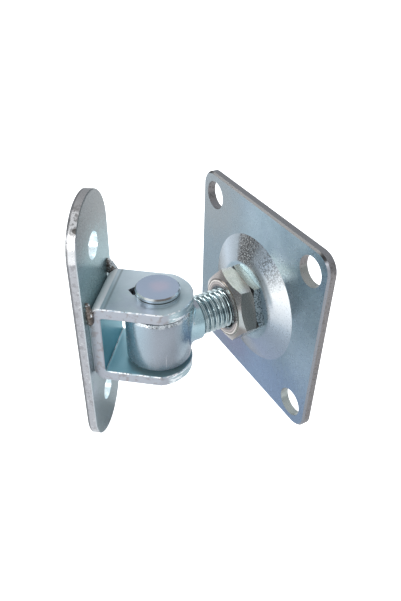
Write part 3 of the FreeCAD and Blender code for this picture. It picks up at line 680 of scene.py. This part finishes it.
# Painted highlights along the drum's top bevel and crest, broken by specks; the dark specks on the crest are
# rough forging flash.
layer(eye, (0.66, 0.70, 0.72), [drum_wall, beyond(eye, FRONT, 41, 42), beyond(eye, UP, 10.4, 11.4),
                               specks(eye, 330, 0.40, 0.2)], 0.85)
crest = facing(eye, UP, 0.3, 0.4)
on_drum = beyond(eye, FRONT, 39, 40)
layer(eye, (0.80, 0.84, 0.86), [crest, on_drum, specks(eye, 700, 0.42, 0.1)], 0.9)
layer(eye, (0.05, 0.05, 0.05), [crest, on_drum, specks(eye, 1300, 0.56, 0.05)], 0.8)
thread_zinc = plated("thread_zinc", (0.52, 0.60, 0.61), (0.30, 0.38, 0.40), metallic=0.95, cloud_scale=200,
                     base_roughness=0.16, tint=(0.36, 0.44, 0.46, 1))
bolt_thread = grow("eye_bolt_thread", THREAD, thread_zinc, start=-0.012, end=THREAD_END)
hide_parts("eye_bolt")
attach(bolt_thread, "eye")


def cleaned_copy(node, name, drop):
    """A merged copy of a solid's mesh, without the faces that drop picks."""
    mesh = nodes[node].data.copy()
    mesh.name = name
    shape = bmesh.new()
    shape.from_mesh(mesh)
    bmesh.ops.remove_doubles(shape, verts=shape.verts, dist=1e-6)
    doomed = [face for face in shape.faces if all(drop(vertex.co) for vertex in face.verts)]
    bmesh.ops.delete(shape, geom=doomed, context="FACES")
    for face in shape.faces:
        face.smooth = True
    shape.to_mesh(mesh)
    shape.free()
    mesh.set_sharp_from_angle(angle=math.radians(28))
    mesh.materials.clear()
    piece = bpy.data.objects.new(name, mesh)
    bpy.context.scene.collection.objects.link(piece)
    return piece


def on_shank(point, slack=0.00001):
    """True for the plain shank, whose place the grown thread takes."""
    return point.x < THREAD_END + slack and math.hypot(point.y, point.z) < CREST_RADIUS + 2 * slack


head = cleaned_copy("eye_bolt", "eye_bolt_head", on_shank)
head.data.materials.append(eye)
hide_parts("eye_bolt")
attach(head, "eye")

# Hinge pin: a turned pin with a bevelled head. A pointed lug under the top ear passes the notch in the ear
# and then keeps the pin in.

pin = plated("pin_zinc", (0.50, 0.56, 0.60), (0.40, 0.46, 0.50), cloud_scale=90, base_roughness=0.2,
             tint=(0.42, 0.47, 0.50, 1))
pin_top = facing(pin, UP, 0.9, 0.97)
layer(pin, (0.44, 0.52, 0.66), [pin_top], 0.9)
layer(pin, (0.72, 0.58, 0.68), [pin_top, patch(pin, (51.2, 0, 22), (3.6, 3.6, 3), 0.2, 300, 0.7)], 0.4)
# Painted shade: a thin dark ring round the pin just above the ear, as the shadow in a groove.
layer(pin, (0.05, 0.06, 0.06), [patch(pin, (DRUM[0], 0, 20.15), (40, 40, 0.34), 0, 100, 0.2)], 0.9)
head_bevel = line(pin, UP)
# A painted highlight on the head's bevel on its +X side; darker brown on its +Y side.
layer(pin, (0.85, 0.88, 0.86), [head_bevel, facing(pin, (0.9, 0.5, 0.7), 0.85, 0.93)], 0.9)
layer(pin, (0.12, 0.09, 0.07), [head_bevel, facing(pin, (0.2, 1, 0.9), 0.93, 0.98)], 0.8)
finish("hinge_pin", pin)

# Clevis bracket: a strip folded to a U with round ends, whose top hole is notched for the pin's lug. Its
# sheared edges are paler than its faces.

PIN = Vector((52.1, 0, -0.35))
SWING = math.radians(-38)
EX = Vector((math.cos(SWING), math.sin(SWING), 0))
EY = Vector((-EX.y, EX.x, 0))


def at(x, y, z):
    """A point of the gate's side, from the pin along the leaf plate's own directions."""
    return PIN + x * EX + y * EY + Vector((0, 0, z))


bracket = plated("bracket_zinc", (0.54, 0.64, 0.68), (0.40, 0.51, 0.55), cloud_scale=60, base_roughness=0.38)
# Painted shade on the faces inside the U, which look towards the pin.
layer(bracket, (0.19, 0.47, 0.55), [facing(bracket, -EX, 0.8, 0.95)])
looking_up = facing(bracket, UP, 0.8, 0.9)
# Painted light: the lower ear's top face, in the top ear's shade, is painted light teal.
layer(bracket, (0.52, 0.80, 0.88), [looking_up, beyond(bracket, DOWN, 5, 9)])
# A painted reflection, lighter, towards the far side of the top ear.
layer(bracket, (0.70, 0.80, 0.86), [looking_up, patch(bracket, at(4, -14, 19), (20, 13, 6), 0.1, 300, 0.7)])
# Painted light: the bends' outer faces are painted near white and not metal.
bend_side = facing(bracket, EX, 0.06, 0.12)
layer(bracket, (0.93, 0.95, 0.96), [bend_side])
layer(bracket, 0.0, [bend_side], 1.0, on="Metallic")
# Painted shade: a soft dark line across the top ear where the bend begins.
bend_line = both(bracket, beyond(bracket, EX, 17.8, 18.6, PIN), beyond(bracket, -EX, -19.4, -18.7, PIN))
layer(bracket, (0.22, 0.27, 0.29), [beyond(bracket, UP, 10, 12), looking_up, bend_line], 0.6)
edge_faces = facing(bracket, UP, 0.2, 0.1)
near_side = facing(bracket, EY - 0.4 * EX, 0.55, 0.75)
layer(bracket, (0.360, 0.380, 0.420), [near_side, edge_faces])
layer(bracket, (0.24, 0.21, 0.20), [near_side, edge_faces, specks(bracket, 420, 0.53, 0.1)], 0.6)
# Painted reflections on the ears' round ends: teal, streaked with white.
round_end = facing(bracket, -EX, 0.35, 0.55)
layer(bracket, (0.42, 0.55, 0.58), [round_end, edge_faces, beyond(bracket, -EX, 6, 9, PIN)], 0.9)
layer(bracket, (0.97, 0.99, 1.0), [round_end, edge_faces, beyond(bracket, -EX, 6, 9, PIN),
                                   specks(bracket, 160, 0.50, 0.08, (1, 1, 5))], 0.9)
top_line = line(bracket, UP)
straight = facing(bracket, EX, 0.3, 0.1)
# Painted glints: white specks along the straight top edges, over dark brown mottle.
layer(bracket, (0.97, 0.98, 0.98), [top_line, straight, specks(bracket, 500, 0.46, 0.08)], 0.85)
layer(bracket, (0.13, 0.10, 0.09), [top_line, straight, specks(bracket, 600, 0.58, 0.05)], 0.8)
# Painted shade on the straight lower edges.
layer(bracket, (0.15, 0.15, 0.16), [line(bracket, DOWN), straight], 0.8)
finish("clevis_bracket", bracket)

# Leaf plate: a flat bar with round ends and a hole above and below the bracket, which is welded to it.
# It is zinc plated, with greyer edges that are paler, pitted and nicked near the top.

leaf = plated("leaf_zinc", (0.27, 0.33, 0.36), (0.175, 0.25, 0.28), cloud_scale=45)
# The leaf's face is greyer at the top and darker at the bottom; its lighter teal middle is painted light,
# where the bracket shades it.
layer(leaf, (0.21, 0.225, 0.225), [patch(leaf, at(25, -2, 56), (26, 26, 24), 0.2)], 0.9)
layer(leaf, (0.30, 0.46, 0.48), [patch(leaf, at(25, 4, 20), (26, 30, 24), 0.2)], 0.8)
layer(leaf, (0.14, 0.20, 0.22), [patch(leaf, at(25, -4, -50), (26, 30, 30), 0.2)], 0.8)
leaf_rim = both(leaf, facing(leaf, EX, 0.3, 0.2), facing(leaf, -EX, 0.3, 0.2))
layer(leaf, (0.31, 0.305, 0.31), [leaf_rim])
leaf_near = facing(leaf, EY, 0.75, 0.9)
layer(leaf, (0.36, 0.365, 0.385), [leaf_near])
layer(leaf, (0.24, 0.235, 0.245), [leaf_near, specks(leaf, 420, 0.50, 0.14)], 0.7)
layer(leaf, (0.52, 0.53, 0.54), [leaf_near, specks(leaf, 700, 0.60, 0.06)], 0.8)
# The rim is paler near the top.
pale_top_rim = patch(leaf, at(27, 17, 52), (12, 12, 9.5), 0.15, 400, 0.1)
layer(leaf, (0.64, 0.64, 0.645), [leaf_rim, pale_top_rim], 0.95)
pitted = patch(leaf, at(27, 15, 56), (12, 12, 6), 0.2, 400, 0.1)
layer(leaf, (0.20, 0.195, 0.195), [leaf_rim, pitted, specks(leaf, 700, 0.50, 0.05)], 0.8)
# Painted shade: a dark line along the rim's back edge.
layer(leaf, (0.12, 0.12, 0.125), [leaf_rim, beyond(leaf, EX, 28.5, 28.9, PIN)], 0.8)
inner_edge = beyond(leaf, EX, 26.0, 25.8, PIN)
layer(leaf, (0.13, 0.12, 0.12), [leaf_near, inner_edge, specks(leaf, 500, 0.5, 0.1)], 0.6)
nick = patch(leaf, at(25.7, 16.2, 54.6), (1.3, 2.5, 1.0), 0.5, 700, 0.1)
layer(leaf, (0.05, 0.045, 0.04), [leaf_rim, nick], 0.9)
# Painted shade on the near edge's back chamfer and a painted highlight on its front chamfer.
layer(leaf, (0.16, 0.165, 0.17), [facing(leaf, EY + EX, 0.9, 0.97)], 0.8)
layer(leaf, (0.62, 0.65, 0.67), [facing(leaf, EY - EX, 0.9, 0.97)], 0.8)
LEAF_HOLE_HEIGHT = 39.4
# The hole walls are painted bluish white, a painted reflection.
for height in (LEAF_HOLE_HEIGHT, -LEAF_HOLE_HEIGHT):
    hole_wall = patch(leaf, at(27.6, 0, height), (7.5, 7.5, 7.5), 0, 100, 0.1)
    layer(leaf, (0.80, 0.90, 0.93), [hole_wall, leaf_rim], 0.95)
finish("leaf_plate", leaf)

# Weld beads: short rippled fillets at the bracket's upper sides and one under its lower bend, burnt
# grey-brown and plated over, with painted glints as bright specks and a painted highlight on the far one's
# ridge.


def bead_tree():
    """A bead: a lumpy spindle with the ripples that a weld leaves as it sets."""
    tree = bpy.data.node_groups.new("weld_bead", "GeometryNodeTree")
    inputs_for(tree, (("Centre", "NodeSocketVector", (0, 0, 0)), ("Along", "NodeSocketVector", (0, 0, 1)),
                      ("Side A", "NodeSocketVector", (1, 0, 0)), ("Side B", "NodeSocketVector", (0, 1, 0)),
                      ("Length", "NodeSocketFloat", 0.012), ("Leg", "NodeSocketFloat", 0.0034),
                      ("Ripple", "NodeSocketFloat", 0.07), ("Ripple Count", "NodeSocketFloat", 8.0),
                      ("Lumps", "NodeSocketFloat", 0.25), ("Seed", "NodeSocketFloat", 3.0),
                      ("Finish", "NodeSocketMaterial", None)))
    given = add_node(tree, "NodeGroupInput").outputs
    grid = add_node(tree, "GeometryNodeMeshGrid")
    for key, value in (("Size X", 1.0), ("Size Y", 1.0), ("Vertices X", 97), ("Vertices Y", 49)):
        grid.inputs[key].default_value = value
    place = add_node(tree, "GeometryNodeInputPosition")
    split = add_node(tree, "ShaderNodeSeparateXYZ")
    feed(tree, place.outputs[0], split.inputs[0])
    u, v = split.outputs["X"], split.outputs["Y"]
    angle = maths(tree, "MULTIPLY", v, 2 * math.pi)
    cosine, sine = maths(tree, "COSINE", angle), maths(tree, "SINE", angle)
    bow = maths(tree, "MULTIPLY", maths(tree, "MULTIPLY", cosine, cosine), 0.05)
    beat = maths(tree, "MULTIPLY", given["Ripple Count"], 2 * math.pi)
    wave = maths(tree, "SINE", maths(tree, "MULTIPLY", maths(tree, "ADD", u, bow), beat))
    from_middle = maths(tree, "ABSOLUTE", maths(tree, "MULTIPLY", u, 2.0))
    fall = maths(tree, "SUBTRACT", 1.0, maths(tree, "POWER", from_middle, 3.5))
    ends = maths(tree, "POWER", fall, 0.5)
    spot = add_node(tree, "ShaderNodeCombineXYZ")
    feed(tree, maths(tree, "MULTIPLY", u, 3.0), spot.inputs["X"])
    feed(tree, cosine, spot.inputs["Y"])
    feed(tree, sine, spot.inputs["Z"])
    lumps = add_node(tree, "ShaderNodeTexNoise", noise_dimensions="4D")
    feed(tree, spot.outputs[0], lumps.inputs["Vector"])
    feed(tree, given["Seed"], lumps.inputs["W"])
    lumps.inputs["Scale"].default_value = 1.6
    lumps.inputs["Detail"].default_value = 4.0
    uneven = maths(tree, "MULTIPLY", maths(tree, "SUBTRACT", lumps.outputs["Fac"], 0.5), given["Lumps"])
    bumps = maths(tree, "MULTIPLY_ADD", wave, given["Ripple"], maths(tree, "MULTIPLY", uneven, 2.0))
    swell = maths(tree, "ADD", 1.0, bumps)
    radius = maths(tree, "MULTIPLY", maths(tree, "MULTIPLY", given["Leg"], ends), swell)
    total = given["Centre"]
    for source, factor in ((given["Along"], maths(tree, "MULTIPLY", u, given["Length"])),
                           (given["Side A"], maths(tree, "MULTIPLY", radius, cosine)),
                           (given["Side B"], maths(tree, "MULTIPLY", radius, sine))):
        scaled = add_node(tree, "ShaderNodeVectorMath", operation="SCALE")
        feed(tree, source, scaled.inputs[0])
        feed(tree, factor, scaled.inputs["Scale"])
        total = vector_maths(tree, "ADD", scaled.outputs[0], total)
    bent = add_node(tree, "GeometryNodeSetPosition")
    feed(tree, grid.outputs["Mesh"], bent.inputs["Geometry"])
    feed(tree, total, bent.inputs["Position"])
    merged = add_node(tree, "GeometryNodeMergeByDistance")
    merged.inputs["Distance"].default_value = 2e-6
    feed(tree, bent.outputs[0], merged.inputs["Geometry"])
    finish_tree(tree, merged.outputs[0], given["Finish"])
    return tree


burnt = plated("burnt_bead", (0.25, 0.21, 0.185), (0.05, 0.040, 0.034), metallic=0.6, cloud_scale=420,
               base_roughness=0.35, relief=0.0002, tint=(0.21, 0.16, 0.13, 1))
# A painted highlight along the far bead's ridge and painted glints in bright specks.
ridge = facing(burnt, Vector((0, 0, 0.6)) - EX, 0.75, 0.9)
layer(burnt, (0.80, 0.83, 0.84), [ridge, beyond(burnt, -EY, 5, 6, PIN)], 0.9)
layer(burnt, (0.85, 0.88, 0.90), [specks(burnt, 420, 0.57, 0.06)], 0.9)
BEAD = bead_tree()
for node, side, seed, lean, out, up, leg in (("weld_far", -1, 3.0, 0.5, 23.9, 18.2, 0.0021),
                                             ("weld_near", 1, 8.0, 0.1, 25.0, 16.6, 0.0017)):
    centre = at(out, side * 15.6, up) * MM
    along = (EX * lean + Vector((0, 0, 1))).normalized()
    bead = grow(node + "_bead", BEAD, burnt, centre=centre, along=along, side_a=along.cross(EY), side_b=EY,
                length=0.0112, leg=leg, ripple=0.03, lumps=0.5, seed=seed)
    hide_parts(node)
    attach(bead, "gate_side")
lower = grow("weld_lower_bead", BEAD, burnt, centre=at(24.3, 0, -18.0) * MM, along=EY, side_a=EX, side_b=UP,
             length=0.0235, leg=0.0021, seed=5.0, ripple_count=14.0)
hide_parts("weld_lower")
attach(lower, "gate_side")
